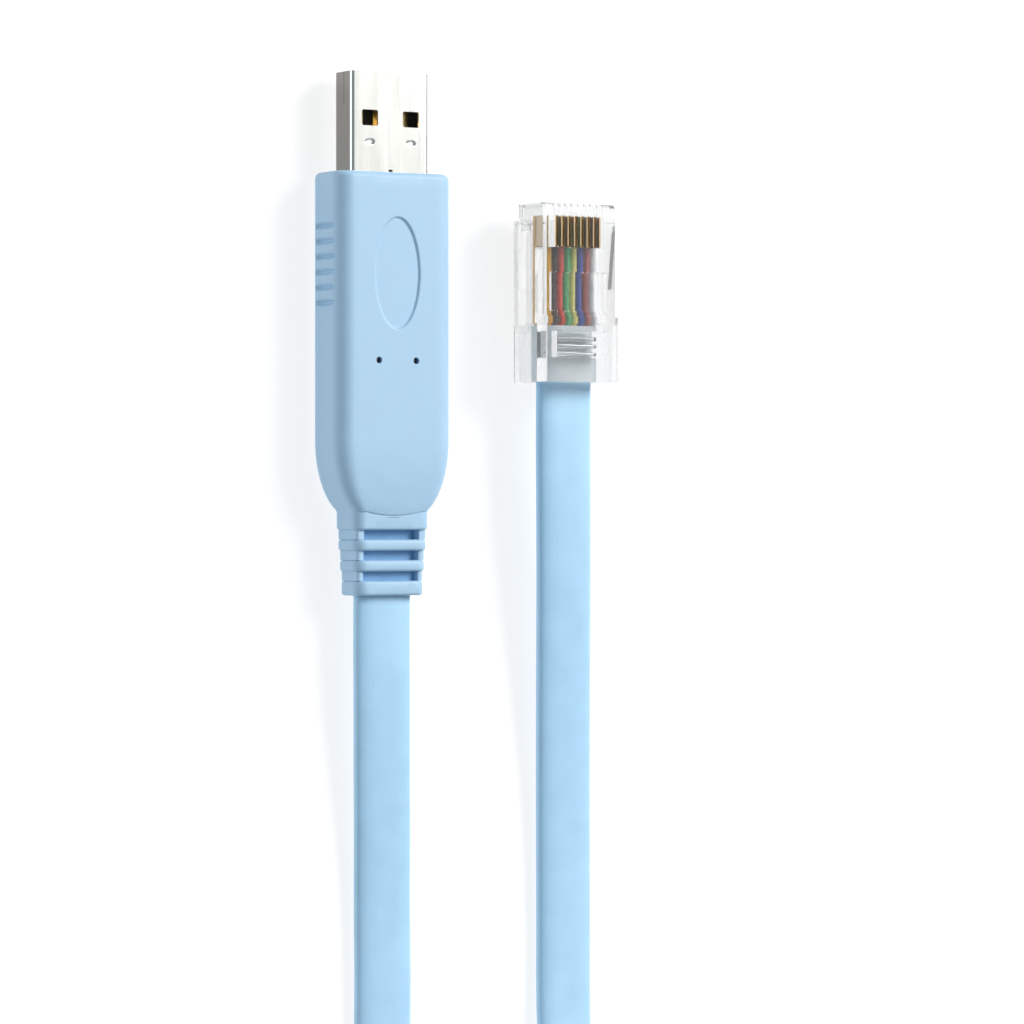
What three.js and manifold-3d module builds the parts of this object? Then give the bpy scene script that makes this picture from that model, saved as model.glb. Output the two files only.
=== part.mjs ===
// A USB to RJ45 console cable that lies on a table: millimetres, +Z up, both plugs pointing along +Y.
// The origin is on the table, under the middle of the two plugs.
import * as THREE from 'three';
import { mergeVertices } from 'three/addons/utils/BufferGeometryUtils.js';
import Module from 'manifold-3d';

const wasm = await Module();
wasm.setup();

// USB-A plug
const shellWidth = 12.0;
const shellHeight = 4.5;
const shellWall = 0.3;
const shellCorner = 0.5;
const shellExposed = 13.4;
const shellSeat = 3.0;
const seatClearance = 0.05;
const windowWidth = 2.5;
const windowLength = 2.1;
const windowPitch = 6.3;
const windowSetback = 5.15;
const tongueSetback = 0.7;
const tongueThickness = 1.9;
const tongueBlockSetback = 11.9;
const usbContactWidth = 1.0;
const usbContactThickness = 0.15;
const usbContactLength = 7.0;
const usbContactSetback = 1.3;
const usbContactPlaces = [-3.5, -1.0, 1.0, 3.5];

// Overmold and strain relief
const gripWidth = 17.6;
const gripHeight = 8.4;
const gripCorner = 2.2;
const gripLength = 44.9;
const gripShoulder = 9.2;
const gripShoulderShare = 0.9;
const gripEdgeRound = 0.8;
const grooveCount = 6;
const groovePitch = 2.04;
const grooveSetback = 7.2;
const grooveWidth = 0.5;
const grooveDepth = 0.4;
const grooveHeight = 4.2;
const ovalWidth = 7.0;
const ovalLength = 15.2;
const ovalSetback = 13.3;
const ovalDepth = 0.35;
const pinholeRadius = 0.45;
const pinholePitch = 5.7;
const pinholeSetback = 25.0;
const pinholeDepth = 1.4;
const ledSetback = 0.5;
const ledLength = 0.8;
const ledClearance = 0.05;
const collarWidth = 11.5;
const collarHeight = 6.4;
const collarLength = 2.6;
const reliefCorner = 1.5;
const ribCount = 3;
const ribLength = 1.5;
const slotLength = 1.25;
const ribStep = 0.16;
const endRingLength = 1.95;
const webWidth = 1.1;
const webPlaces = [-4.3, 4.3];
const reliefWall = 0.5;

// Flat cable, with its whole length from end to end
const cableLength = 1800;
const cableWidth = 8.4;
const cableThickness = 2.6;
const cableCorner = 0.9;
const meetGap = 0.3;

// Clear 8-way plug
const plugWidth = 11.7;
const plugLength = 24.2;
const plugRearLength = 8.9;
const plugRearHeight = 8.1;
const plugFrontHeight = 7.3;
const noseLength = 2.2;
const noseStep = 1.2;
const noseChamfer = 0.5;
const jacketReach = 7.7;
const jacketHeight = 3.4;
const jacketClearance = 0.3;
const contactCount = 8;
const contactPitch = 1.02;
const contactThickness = 0.4;
const contactSlot = 0.6;
const contactSetback = 1.6;
const contactLength = 4.3;
const contactDepth = 0.4;
const combDepth = 1.2;
const conductorRadius = 0.45;
const conductorHeight = 3.7;
const conductorClearance = 0.06;
const viewRecessSetback = 9.3;
const viewRecessLength = 5.3;
const viewRecessWidth = 8.9;
const viewRecessDepth = 0.9;
const pocketSetback = 3.3;
const pocketLength = 3.6;
const pocketWidth = 8.1;
const pocketFloor = 0.6;
const latchDrop = 2.8;
const latchThickness = 0.9;
const latchSetback = 2.6;
const latchWidth = 6.2;
const latchTabWidth = 3.3;
const latchShoulder = 8.6;
const latchLength = 14.6;

// Ties round the two long sides of the hank
const tieWidth = 9;
const tieThickness = 0.8;
const tieClearance = 0.3;

// Hank: turns on edge in two layers, each turn inside the last, and the places of the two plugs on the table
const turnPitch = 3.05;
const innerTurnRadius = 25.6;
const layerGap = 0.2;
const hankX = 3.9;
const hankTopY = -156;
const plugSpacing = 27.5;
const rjRearY = -6.1;

const overmoldColour = 0xb2d4ee;
const cableColour = 0xb4dbf5;

// Places that follow from the sizes above
const plugsWidth = plugSpacing + gripWidth / 2 + plugWidth / 2;
const usbX = (gripWidth - plugsWidth) / 2;
const rjX = usbX + plugSpacing;
const reliefLength = collarLength + ribCount * (slotLength + ribLength) - ribLength + endRingLength;
const usbLength = shellExposed + gripLength + reliefLength;
const usbTipY = usbLength / 2;
const gripTopY = usbTipY - shellExposed;
const gripEndY = gripTopY - gripLength;
const usbEndY = gripEndY - reliefLength;
const usbMidZ = gripHeight / 2;
const outerTurnRadius = innerTurnRadius + 2 * turnPitch;
const hankBaseZ = tieThickness + tieClearance;
const layerMidZ = hankBaseZ + cableWidth + layerGap / 2;
const hankHeight = 2 * cableWidth + layerGap;

// Joins and cuts of closed meshes
function toSolid(geometry) {
  const bare = geometry.clone();
  bare.deleteAttribute('normal');
  bare.deleteAttribute('uv');
  const merged = mergeVertices(bare, 1e-5);
  const vertProperties = new Float32Array(merged.attributes.position.array);
  const triVerts = new Uint32Array(merged.index.array);
  return new wasm.Manifold(new wasm.Mesh({ numProp: 3, vertProperties, triVerts }));
}

function toGeometry(solid) {
  const mesh = solid.getMesh();
  const geometry = new THREE.BufferGeometry();
  geometry.setAttribute('position', new THREE.BufferAttribute(mesh.vertProperties, 3));
  geometry.setIndex(new THREE.BufferAttribute(mesh.triVerts, 1));
  return geometry;
}

function combine(base, added, removed) {
  let solid = toSolid(base);
  for (const geometry of added) solid = solid.add(toSolid(geometry));
  for (const geometry of removed) solid = solid.subtract(toSolid(geometry));
  return toGeometry(solid);
}

function piece(name, geometry, colour, roughness, metalness = 0) {
  const material = new THREE.MeshStandardMaterial({ color: colour, roughness, metalness });
  const mesh = new THREE.Mesh(geometry, material);
  mesh.name = name;
  return mesh;
}

// A box by its lowest and highest corners
function block(low, high) {
  const size = high.map((value, axis) => value - low[axis]);
  const middle = high.map((value, axis) => (value + low[axis]) / 2);
  return new THREE.BoxGeometry(...size).translate(...middle);
}

function roundedRectangle(width, height, radius) {
  const x = width / 2 - radius;
  const y = height / 2 - radius;
  const shape = new THREE.Shape();
  shape.absarc(x, y, radius, 0, Math.PI / 2);
  shape.absarc(-x, y, radius, Math.PI / 2, Math.PI);
  shape.absarc(-x, -y, radius, Math.PI, Math.PI * 1.5);
  shape.absarc(x, -y, radius, Math.PI * 1.5, Math.PI * 2);
  return shape;
}

// A section in X and Z carried from y = back to y = front
function alongY(shape, back, front, cornerSteps) {
  const options = { depth: front - back, bevelEnabled: false, curveSegments: cornerSteps };
  return new THREE.ExtrudeGeometry(shape, options).rotateX(Math.PI / 2).translate(0, front, 0);
}

// A section carried through stations: each has its place, the directions of the section's width and height,
// and the scale of both
function throughStations(shape, stations, cornerSteps) {
  const steps = stations.length - 1;
  const options = { depth: steps, steps, bevelEnabled: false, curveSegments: cornerSteps };
  const geometry = new THREE.ExtrudeGeometry(shape, options);
  const position = geometry.attributes.position;
  const point = new THREE.Vector3();
  for (let i = 0; i < position.count; i++) {
    const station = stations[Math.round(position.getZ(i))];
    point.copy(station.place);
    point.addScaledVector(station.side, position.getX(i) * station.scaleX);
    point.addScaledVector(station.up, position.getY(i) * station.scaleY);
    position.setXYZ(i, point.x, point.y, point.z);
  }
  return geometry;
}

// USB-A plug, in a frame whose y = 0 is the plug's tip and whose z = 0 is its middle
function usbShell() {
  const outer = roundedRectangle(shellWidth, shellHeight, shellCorner);
  const bore = roundedRectangle(
    shellWidth - 2 * shellWall,
    shellHeight - 2 * shellWall,
    shellCorner - shellWall,
  );
  const back = -shellExposed - shellSeat;
  const tube = alongY(outer, back, 0, 3);
  const cuts = [alongY(bore, back - 1, 1, 3)];
  const cutHeight = shellHeight / 2 + 1;
  for (const side of [-1, 1]) {
    const middle = side * windowPitch / 2;
    cuts.push(block(
      [middle - windowWidth / 2, -windowSetback - windowLength, -cutHeight],
      [middle + windowWidth / 2, -windowSetback, cutHeight],
    ));
  }
  return piece('usb_shell', combine(tube, [], cuts), 0xe6e4dc, 0.22, 1);
}

function usbTongue() {
  const halfWidth = shellWidth / 2 - shellWall - seatClearance;
  const low = -shellHeight / 2 + shellWall + seatClearance;
  const high = shellHeight / 2 - shellWall - seatClearance;
  const back = -shellExposed - shellSeat + seatClearance;
  const slab = block([-halfWidth, back, low], [halfWidth, -tongueSetback, low + tongueThickness]);
  const root = block([-halfWidth, back, low], [halfWidth, -tongueBlockSetback, high]);
  return piece('usb_tongue', combine(slab, [root], []), 0x1b1a18, 0.5);
}

function usbContacts() {
  const top = -shellHeight / 2 + shellWall + seatClearance + tongueThickness;
  const front = -tongueSetback - usbContactSetback;
  return usbContactPlaces.map((middle, index) => {
    const strip = block(
      [middle - usbContactWidth / 2, front - usbContactLength, top],
      [middle + usbContactWidth / 2, front, top + usbContactThickness],
    );
    return piece(`usb_contact_${index + 1}`, strip, 0xd9b25c, 0.3, 1);
  });
}

// Overmold, in the same frame as the plug
function gripStations() {
  const stations = [];
  const add = (y, width, height) => stations.push({
    place: new THREE.Vector3(0, y, 0),
    side: new THREE.Vector3(1, 0, 0),
    up: new THREE.Vector3(0, 0, 1),
    scaleX: width / gripWidth,
    scaleY: height / gripHeight,
  });
  const edgeSteps = 4;
  for (let i = 0; i < edgeSteps; i++) {
    const angle = i / edgeSteps * Math.PI / 2;
    const inset = gripEdgeRound * (1 - Math.sin(angle));
    const back = gripEdgeRound * (1 - Math.cos(angle));
    add(-shellExposed - back, gripWidth - 2 * inset, gripHeight - 2 * inset);
  }
  add(-shellExposed - gripEdgeRound, gripWidth, gripHeight);
  const shoulderSteps = 10;
  const full = 1 - Math.sqrt(1 - gripShoulderShare ** 2);
  for (let i = 0; i <= shoulderSteps; i++) {
    const along = i / shoulderSteps;
    const drop = (1 - Math.sqrt(1 - (gripShoulderShare * along) ** 2)) / full;
    const width = gripWidth + (collarWidth - gripWidth) * drop;
    const height = gripHeight + (collarHeight - gripHeight) * drop;
    add(-shellExposed - gripLength + gripShoulder * (1 - along), width, height);
  }
  return stations;
}

// Collar, ribs and end ring, each a little smaller than the last, round a core that the slots show
function reliefParts() {
  const parts = [];
  const coreWidth = cableWidth + 2 * reliefWall;
  const coreHeight = cableThickness + 2 * reliefWall;
  const front = -shellExposed - gripLength;
  const core = roundedRectangle(coreWidth, coreHeight, cableCorner);
  parts.push(alongY(core, front - reliefLength, front + 1, 2));
  const addRing = (start, length, step) => {
    const width = collarWidth - 2 * ribStep * step;
    const height = collarHeight - 2 * ribStep * step;
    parts.push(alongY(roundedRectangle(width, height, reliefCorner), start - length, start, 4));
  };
  addRing(front + meetGap, collarLength + meetGap, 0);
  let start = front - collarLength;
  for (let i = 1; i <= ribCount; i++) {
    start -= slotLength;
    const length = i < ribCount ? ribLength : endRingLength;
    addRing(start, length, i);
    start -= length;
  }
  const webTop = (collarHeight - 2 * ribStep * ribCount) / 2 - ribStep;
  for (const middle of webPlaces) {
    parts.push(block(
      [middle - webWidth / 2, front - reliefLength + endRingLength / 2, -webTop],
      [middle + webWidth / 2, front - collarLength / 2, webTop],
    ));
  }
  return parts;
}

function overmold() {
  const cuts = [];
  const socketWidth = shellWidth + 2 * seatClearance;
  const socketHeight = shellHeight + 2 * seatClearance;
  const socket = roundedRectangle(socketWidth, socketHeight, shellCorner);
  cuts.push(alongY(socket, -shellExposed - shellSeat - seatClearance, -shellExposed + 1, 3));
  for (let i = 0; i < grooveCount; i++) {
    const middle = -shellExposed - grooveSetback - i * groovePitch;
    for (const side of [-1, 1]) {
      const edge = side * gripWidth / 2;
      cuts.push(block(
        [edge - grooveDepth, middle - grooveWidth / 2, -grooveHeight / 2],
        [edge + grooveDepth, middle + grooveWidth / 2, grooveHeight / 2],
      ));
    }
  }
  const face = gripHeight / 2;
  const oval = new THREE.CylinderGeometry(1, 1, 2 * ovalDepth, 32).rotateX(Math.PI / 2);
  oval.scale(ovalWidth / 2, ovalLength / 2, 1).translate(0, -shellExposed - ovalSetback, face);
  cuts.push(oval);
  for (const side of [-1, 1]) {
    const hole = new THREE.CylinderGeometry(pinholeRadius, pinholeRadius, 2 * pinholeDepth, 12);
    hole.rotateX(Math.PI / 2).translate(side * pinholePitch / 2, -shellExposed - pinholeSetback, face);
    cuts.push(hole);
  }
  const body = throughStations(
    roundedRectangle(gripWidth, gripHeight, gripCorner),
    gripStations(),
    8,
  );
  return piece('usb_overmold', combine(body, reliefParts(), cuts), overmoldColour, 0.45);
}

function statusLeds() {
  return [-1, 1].map((side, index) => {
    const radius = pinholeRadius - ledClearance;
    const lens = new THREE.CylinderGeometry(radius, radius, ledLength, 12).rotateX(Math.PI / 2);
    lens.translate(
      side * pinholePitch / 2,
      -shellExposed - pinholeSetback,
      gripHeight / 2 - ledSetback - ledLength / 2,
    );
    return piece(`status_led_${index + 1}`, lens, 0x101418, 0.2);
  });
}

// Clear plug, in a frame whose y = 0 is its rear and whose z = 0 is its back, with the latch below
function housingBody() {
  const profile = new THREE.Shape();
  profile.moveTo(0, 0);
  profile.lineTo(plugLength - noseLength, 0);
  profile.lineTo(plugLength - noseLength, noseStep);
  profile.lineTo(plugLength, noseStep);
  profile.lineTo(plugLength, plugFrontHeight - noseChamfer);
  profile.lineTo(plugLength - noseChamfer, plugFrontHeight);
  profile.lineTo(plugRearLength, plugFrontHeight);
  profile.lineTo(plugRearLength, plugRearHeight);
  profile.lineTo(0, plugRearHeight);
  profile.closePath();
  return acrossX(profile, plugWidth);
}

// A side profile in Y and Z carried across the width of the plug
function acrossX(profile, width) {
  const geometry = new THREE.ExtrudeGeometry(profile, { depth: width, bevelEnabled: false });
  return geometry.rotateX(Math.PI / 2).rotateZ(Math.PI / 2).translate(-width / 2, 0, 0);
}

// The latch: a wide root under the nose that slopes down and back, then a narrow finger tab
function latchParts() {
  const rootY = plugLength - latchSetback;
  const slope = (latchDrop - latchThickness) / latchLength;
  const arm = (start, end, width) => {
    const profile = new THREE.Shape();
    profile.moveTo(rootY - start, -start * slope);
    profile.lineTo(rootY - end, -end * slope);
    profile.lineTo(rootY - end, -end * slope - latchThickness);
    profile.lineTo(rootY - start, -start * slope - latchThickness);
    profile.closePath();
    return acrossX(profile, width);
  };
  const root = new THREE.Shape();
  root.moveTo(rootY - latchThickness, noseStep);
  root.lineTo(rootY - latchThickness, -latchThickness - latchThickness * slope);
  root.lineTo(rootY, -latchThickness);
  root.lineTo(rootY + latchThickness / 2, noseStep);
  root.closePath();
  return [
    acrossX(root, latchWidth),
    arm(0, latchShoulder, latchWidth),
    arm(latchShoulder - latchThickness, latchLength, latchTabWidth),
  ];
}

function housingCuts() {
  const cuts = [];
  const jacketHalf = cableWidth / 2 + jacketClearance;
  const jacketRise = cableThickness / 2 + jacketClearance;
  const cavityEnd = jacketReach + jacketClearance;
  cuts.push(block(
    [-jacketHalf, -1, jacketHeight - jacketRise],
    [jacketHalf, cavityEnd, jacketHeight + jacketRise],
  ));
  const wireHalf = (contactCount - 1) * contactPitch / 2 + conductorRadius + conductorClearance;
  const wireRise = conductorRadius + conductorClearance;
  const wireEnd = plugLength - contactSetback;
  cuts.push(block(
    [-wireHalf, cavityEnd - 1, conductorHeight - wireRise],
    [wireHalf, wireEnd, conductorHeight + wireRise],
  ));
  for (let i = 0; i < contactCount; i++) {
    const middle = (i - (contactCount - 1) / 2) * contactPitch;
    cuts.push(block(
      [middle - contactSlot / 2, wireEnd - contactLength - conductorClearance, conductorHeight],
      [middle + contactSlot / 2, wireEnd, plugFrontHeight + 1],
    ));
    cuts.push(block(
      [middle - contactSlot / 2, wireEnd - 1, plugFrontHeight - combDepth],
      [middle + contactSlot / 2, plugLength + 1, plugFrontHeight + 1],
    ));
  }
  const recessFront = plugLength - viewRecessSetback;
  cuts.push(block(
    [-viewRecessWidth / 2, recessFront - viewRecessLength, plugFrontHeight - viewRecessDepth],
    [viewRecessWidth / 2, recessFront, plugFrontHeight + 1],
  ));
  const floor = jacketHeight + jacketRise + pocketFloor;
  cuts.push(block(
    [-pocketWidth / 2, pocketSetback, floor],
    [pocketWidth / 2, pocketSetback + pocketLength, plugRearHeight + 1],
  ));
  return cuts;
}

function rjHousing() {
  return piece('rj45_housing', combine(housingBody(), latchParts(), housingCuts()), 0xe9eef0, 0.08);
}

function rjContacts() {
  const blades = [];
  const front = plugLength - contactSetback - conductorClearance;
  const low = conductorHeight + conductorRadius + conductorClearance;
  for (let i = 0; i < contactCount; i++) {
    const middle = (i - (contactCount - 1) / 2) * contactPitch;
    const blade = block(
      [middle - contactThickness / 2, front - contactLength + 2 * conductorClearance, low],
      [middle + contactThickness / 2, front, plugFrontHeight - contactDepth],
    );
    blades.push(piece(`rj45_contact_${i + 1}`, blade, 0xcfa050, 0.3, 1));
  }
  return blades;
}

function conductors() {
  const colours = [
    ['orange', 0xf2a51c],
    ['black', 0x3c3c40],
    ['red', 0xdc4a40],
    ['green', 0x4fae78],
    ['yellow', 0xded886],
    ['blue', 0x2f55a8],
    ['brown', 0xb05a58],
    ['grey', 0xdedede],
  ];
  const back = jacketReach;
  const front = plugLength - contactSetback - conductorClearance;
  return colours.map(([name, colour], i) => {
    const wire = new THREE.CylinderGeometry(conductorRadius, conductorRadius, front - back, 12);
    wire.translate((i - (contactCount - 1) / 2) * contactPitch, (front + back) / 2, conductorHeight);
    return piece(`conductor_${i + 1}_${name}`, wire, colour, 0.4);
  });
}

// Routes of the two straight stretches of the cable: x, y, z of the middle, and its roll from flat, in degrees.
// They run from each plug down to the table, then turn on edge and swing out to the sides of the hank.
const usbRoute = [
  [-12.3, -35.1, 4.2, 0],
  [-12.3, -41, 4.15, 0],
  [-12.0, -49, 3.7, 0],
  [-11.5, -58, 2.85, 0],
  [-11.0, -67, 2.05, 0],
  [-10.7, -76, 1.5, 0],
  [-10.5, -86, 1.3, 0],
  [-10.5, -95, 1.3, 0],
  [-10.5, -103, 1.9, 9],
  [-10.5, -111.6, 3.4, 31],
  [-11.7, -120.4, 4.6, 60],
  [-15.1, -128.6, 5.0, 82],
  [-19.5, -134.6, 5.2, 90],
  [-23.6, -140.2, 5.3, 90],
  [-26.7, -147.8, 5.3, 90],
  [-27.8, -155.7, 5.3, 90],
];
const rjRoute = [
  [15.2, 1.6, 6.2, 0],
  [15.2, -6.1, 6.2, 0],
  [15.2, -13, 6.1, 0],
  [15.5, -22, 5.7, 0],
  [16.1, -32, 4.8, 0],
  [16.8, -42, 3.65, 0],
  [17.4, -52, 2.65, 0],
  [17.9, -62, 1.85, 0],
  [18.2, -72, 1.42, 0],
  [18.3, -82, 1.3, 0],
  [18.3, -89, 1.3, 0],
  [18.3, -96, 1.7, -1],
  [18.3, -103, 3.6, -9],
  [18.3, -111.6, 7.0, -31],
  [19.5, -120.4, 10.7, -60],
  [22.9, -128.6, 13.1, -85],
  [27.3, -134.6, 13.9, -90],
  [31.4, -140.2, 13.9, -90],
  [34.5, -147.8, 13.9, -90],
  [35.6, -155.7, 13.9, -90],
];

function routeCurve(route) {
  return new THREE.CatmullRomCurve3(route.map(([x, y, z]) => new THREE.Vector3(x, y, z)));
}

function cableRun(name, route) {
  const curve = routeCurve(route);
  const spans = route.length - 1;
  const stepsPerSpan = 2;
  const vertical = new THREE.Vector3(0, 0, 1);
  const stations = [];
  for (let i = 0; i <= spans * stepsPerSpan; i++) {
    const span = Math.min(Math.floor(i / stepsPerSpan), spans - 1);
    const share = i / stepsPerSpan - span;
    const roll = THREE.MathUtils.lerp(route[span][3], route[span + 1][3], share);
    const angle = THREE.MathUtils.degToRad(roll);
    const tangent = curve.getTangent(i / (spans * stepsPerSpan));
    const flatSide = new THREE.Vector3().crossVectors(vertical, tangent).normalize();
    const flatUp = new THREE.Vector3().crossVectors(tangent, flatSide);
    const side = flatSide.clone().multiplyScalar(Math.cos(angle));
    side.addScaledVector(flatUp, Math.sin(angle));
    const up = flatUp.clone().multiplyScalar(Math.cos(angle));
    up.addScaledVector(flatSide, -Math.sin(angle));
    const place = curve.getPoint(i / (spans * stepsPerSpan));
    stations.push({ place, side, up, scaleX: 1, scaleY: 1 });
  }
  const section = roundedRectangle(cableWidth, cableThickness, cableCorner);
  return piece(name, throughStations(section, stations, 2), cableColour, 0.45);
}

// The hank's straight sides take up what the two stretches and the round ends leave of the cable's length
const longSides = 10;
const roundEnds = 9;
const roundEndLength = Math.PI * (roundEnds * outerTurnRadius - 10 * turnPitch);
const runLength = routeCurve(usbRoute).getLength() + routeCurve(rjRoute).getLength();
const hankStraight = (cableLength - runLength - roundEndLength) / longSides;

// One layer's outline: its outermost turn starts at the top of one side and comes back one turn pitch inside it
function layerOutline(side) {
  const half = cableThickness / 2;
  const shape = new THREE.Shape();
  const endSteps = 24;
  shape.moveTo(-side * (half + outerTurnRadius), 0);
  const addEnd = (startAngle, startRadius, endRadius, middleY) => {
    for (let i = 0; i <= endSteps; i++) {
      const angle = startAngle + Math.PI * i / endSteps;
      const radius = half + startRadius + (endRadius - startRadius) * i / endSteps;
      const x = side * radius * Math.cos(angle);
      const y = middleY + radius * Math.sin(angle);
      shape.lineTo(x, y);
    }
  };
  addEnd(Math.PI, outerTurnRadius, outerTurnRadius - turnPitch / 2, -hankStraight);
  addEnd(0, outerTurnRadius - turnPitch / 2, outerTurnRadius - turnPitch, 0);
  shape.closePath();
  const bore = innerTurnRadius - half;
  const hole = new THREE.Path();
  hole.absarc(0, 0, bore, 0, Math.PI);
  hole.absarc(0, -hankStraight, bore, Math.PI, Math.PI * 2);
  hole.closePath();
  shape.holes.push(hole);
  return shape;
}

function hank() {
  const options = { depth: hankHeight / 2, bevelEnabled: false, curveSegments: 24 };
  const lower = new THREE.ExtrudeGeometry(layerOutline(1), options);
  lower.translate(hankX, hankTopY, layerMidZ - hankHeight / 2);
  const upper = new THREE.ExtrudeGeometry(layerOutline(-1), options);
  upper.translate(hankX, hankTopY, layerMidZ);
  return piece('cable_hank', combine(lower, [upper], []), cableColour, 0.45);
}

function hankTies() {
  const low = hankBaseZ - tieClearance;
  const high = hankBaseZ + hankHeight + tieClearance;
  const inner = innerTurnRadius - cableThickness / 2 - tieClearance;
  const outer = outerTurnRadius + cableThickness / 2 + tieClearance;
  const middleY = hankTopY - hankStraight / 2;
  return [['left', -1], ['right', 1]].map(([name, side]) => {
    const ends = [hankX + side * inner, hankX + side * outer].sort((a, b) => a - b);
    const band = block(
      [ends[0] - tieThickness, middleY - tieWidth / 2, low - tieThickness],
      [ends[1] + tieThickness, middleY + tieWidth / 2, high + tieThickness],
    );
    const bore = block(
      [ends[0], middleY - tieWidth, low],
      [ends[1], middleY + tieWidth, high],
    );
    return piece(`hank_tie_${name}`, combine(band, [], [bore]), 0x2b2b2d, 0.8);
  });
}

const usbPlug = new THREE.Group();
usbPlug.position.set(usbX, usbTipY, usbMidZ);
usbPlug.add(usbShell(), usbTongue(), ...usbContacts(), overmold(), ...statusLeds());

const rjPlug = new THREE.Group();
rjPlug.position.set(rjX, rjRearY, latchDrop);
rjPlug.add(rjHousing(), ...rjContacts(), ...conductors());

const consoleCable = new THREE.Group();
consoleCable.add(usbPlug, rjPlug);
consoleCable.add(cableRun('cable_run_usb', usbRoute), hank(), cableRun('cable_run_rj45', rjRoute));
consoleCable.add(...hankTies());

export default consoleCable;
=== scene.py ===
import math

import bmesh
import bpy
from mathutils import Matrix, Vector


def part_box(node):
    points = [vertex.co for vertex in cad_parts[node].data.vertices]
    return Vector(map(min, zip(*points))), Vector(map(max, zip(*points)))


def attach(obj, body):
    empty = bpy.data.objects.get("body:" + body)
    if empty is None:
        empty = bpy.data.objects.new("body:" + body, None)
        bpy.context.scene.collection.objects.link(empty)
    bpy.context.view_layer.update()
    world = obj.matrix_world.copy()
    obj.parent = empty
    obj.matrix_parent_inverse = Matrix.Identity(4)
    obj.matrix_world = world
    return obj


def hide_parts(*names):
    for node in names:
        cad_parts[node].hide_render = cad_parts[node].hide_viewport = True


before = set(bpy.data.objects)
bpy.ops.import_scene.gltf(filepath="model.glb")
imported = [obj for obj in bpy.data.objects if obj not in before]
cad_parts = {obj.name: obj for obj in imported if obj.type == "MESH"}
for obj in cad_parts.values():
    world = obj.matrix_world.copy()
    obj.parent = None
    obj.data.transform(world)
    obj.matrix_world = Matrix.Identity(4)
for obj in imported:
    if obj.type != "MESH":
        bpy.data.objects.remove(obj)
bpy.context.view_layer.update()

# Camera
# It looks down on the table from the left of the two plugs, so that the left flank of each shows beside its
# face. The picture's own colours are kept as they are.
CAMERA_AIM = Vector((0.0108, -0.0237, 0.0))
CAMERA_DISTANCE = 0.600
CAMERA_LEAN = math.radians(32)
PIXELS_PER_METRE = 7300
PICTURE_WIDTH = 1024
camera_data = bpy.data.cameras.new("camera")
camera_data.sensor_width = 36
camera_data.lens = camera_data.sensor_width * PIXELS_PER_METRE * CAMERA_DISTANCE / PICTURE_WIDTH
camera_data.clip_start = 0.01
camera = bpy.data.objects.new("camera", camera_data)
camera.rotation_euler = (0, -CAMERA_LEAN, 0)
towards_camera = Vector((-math.sin(CAMERA_LEAN), 0, math.cos(CAMERA_LEAN)))
camera.location = CAMERA_AIM + CAMERA_DISTANCE * towards_camera
bpy.context.scene.collection.objects.link(camera)
bpy.context.scene.camera = camera
bpy.context.scene.view_settings.view_transform = "Standard"

# Flat cable
# One flat jacketed cable, extruded in soft light blue plastic. It leaves the strain relief, runs down to the
# table and out of view, turns on edge, lies in the hank's two layers of turns, and comes back to the clear
# plug, inside which its colour is painted paler, as painted light against the clear shell's shade. A route's
# points are x, y, z and the roll from flat, in degrees.
CABLE_LENGTH = 1.8
CABLE_WIDTH = 0.0084
CABLE_THICKNESS = 0.0026
CABLE_CROWN = 2.8
SECTION_POINTS = 44
TURN_PITCH = 0.00305
OUTER_TURN_RADIUS = 0.0256 + 2 * TURN_PITCH
LAYER_GAP = 0.0002
HANK_TOP = Vector((0.0039, -0.156))
HANK_BASE = 0.0011
HANK_SIDES = 10
END_STEPS = 12
JOINS_TO_HANK = 0.0165
JACKET_BLUE = (0.43, 0.69, 0.91)
# Paler colour of the jacket inside the clear plug: painted light that offsets the clear shell's shade.
JACKET_PAINTED_LIGHT = (0.83, 0.89, 0.92)
JACKET_GRAIN = 0.0005
FINE_DEPTH = 0.000006
PATTERN_RANGE = (0.3, 0.7)
GLOSS_SPREAD = 0.05
MERGE = 1e-6
USB_ROUTE = [
    (-0.0123, -0.0336, 0.0042, 0),
    (-0.0123, -0.0410, 0.00415, 0),
    (-0.0120, -0.0490, 0.0037, 0),
    (-0.0115, -0.0580, 0.00285, 0),
    (-0.0110, -0.0670, 0.00205, 0),
    (-0.0107, -0.0760, 0.0015, 0),
    (-0.0105, -0.0860, 0.0013, 0),
    (-0.0105, -0.0950, 0.0013, 0),
    (-0.0105, -0.1030, 0.0019, 9),
    (-0.0105, -0.1116, 0.0034, 31),
    (-0.0117, -0.1204, 0.0046, 60),
    (-0.0151, -0.1286, 0.0050, 82),
    (-0.0195, -0.1346, 0.0052, 90),
    (-0.0236, -0.1402, 0.0053, 90),
    (-0.0267, -0.1478, 0.0053, 90),
]
RJ45_ROUTE = [
    (0.0345, -0.1478, 0.0139, 90),
    (0.0314, -0.1402, 0.0139, 90),
    (0.0273, -0.1346, 0.0139, 90),
    (0.0229, -0.1286, 0.0131, 85),
    (0.0195, -0.1204, 0.0107, 60),
    (0.0183, -0.1116, 0.0070, 31),
    (0.0183, -0.1030, 0.0036, 9),
    (0.0183, -0.0960, 0.0017, 1),
    (0.0183, -0.0890, 0.0013, 0),
    (0.0183, -0.0820, 0.0013, 0),
    (0.0182, -0.0720, 0.00142, 0),
    (0.0179, -0.0620, 0.00185, 0),
    (0.0174, -0.0520, 0.00265, 0),
    (0.0168, -0.0420, 0.00365, 0),
    (0.0161, -0.0320, 0.0048, 0),
    (0.0155, -0.0220, 0.0057, 0),
    (0.0152, -0.0130, 0.0061, 0),
    (0.0152, -0.0061, 0.0062, 0),
    (0.0152, 0.0016, 0.0062, 0),
]


def side_radius(side):
    """Half the distance across the hank at one of its straight sides: they step inwards, then out again."""
    return OUTER_TURN_RADIUS - min(side, HANK_SIDES - 1 - side) * TURN_PITCH / 2


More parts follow.
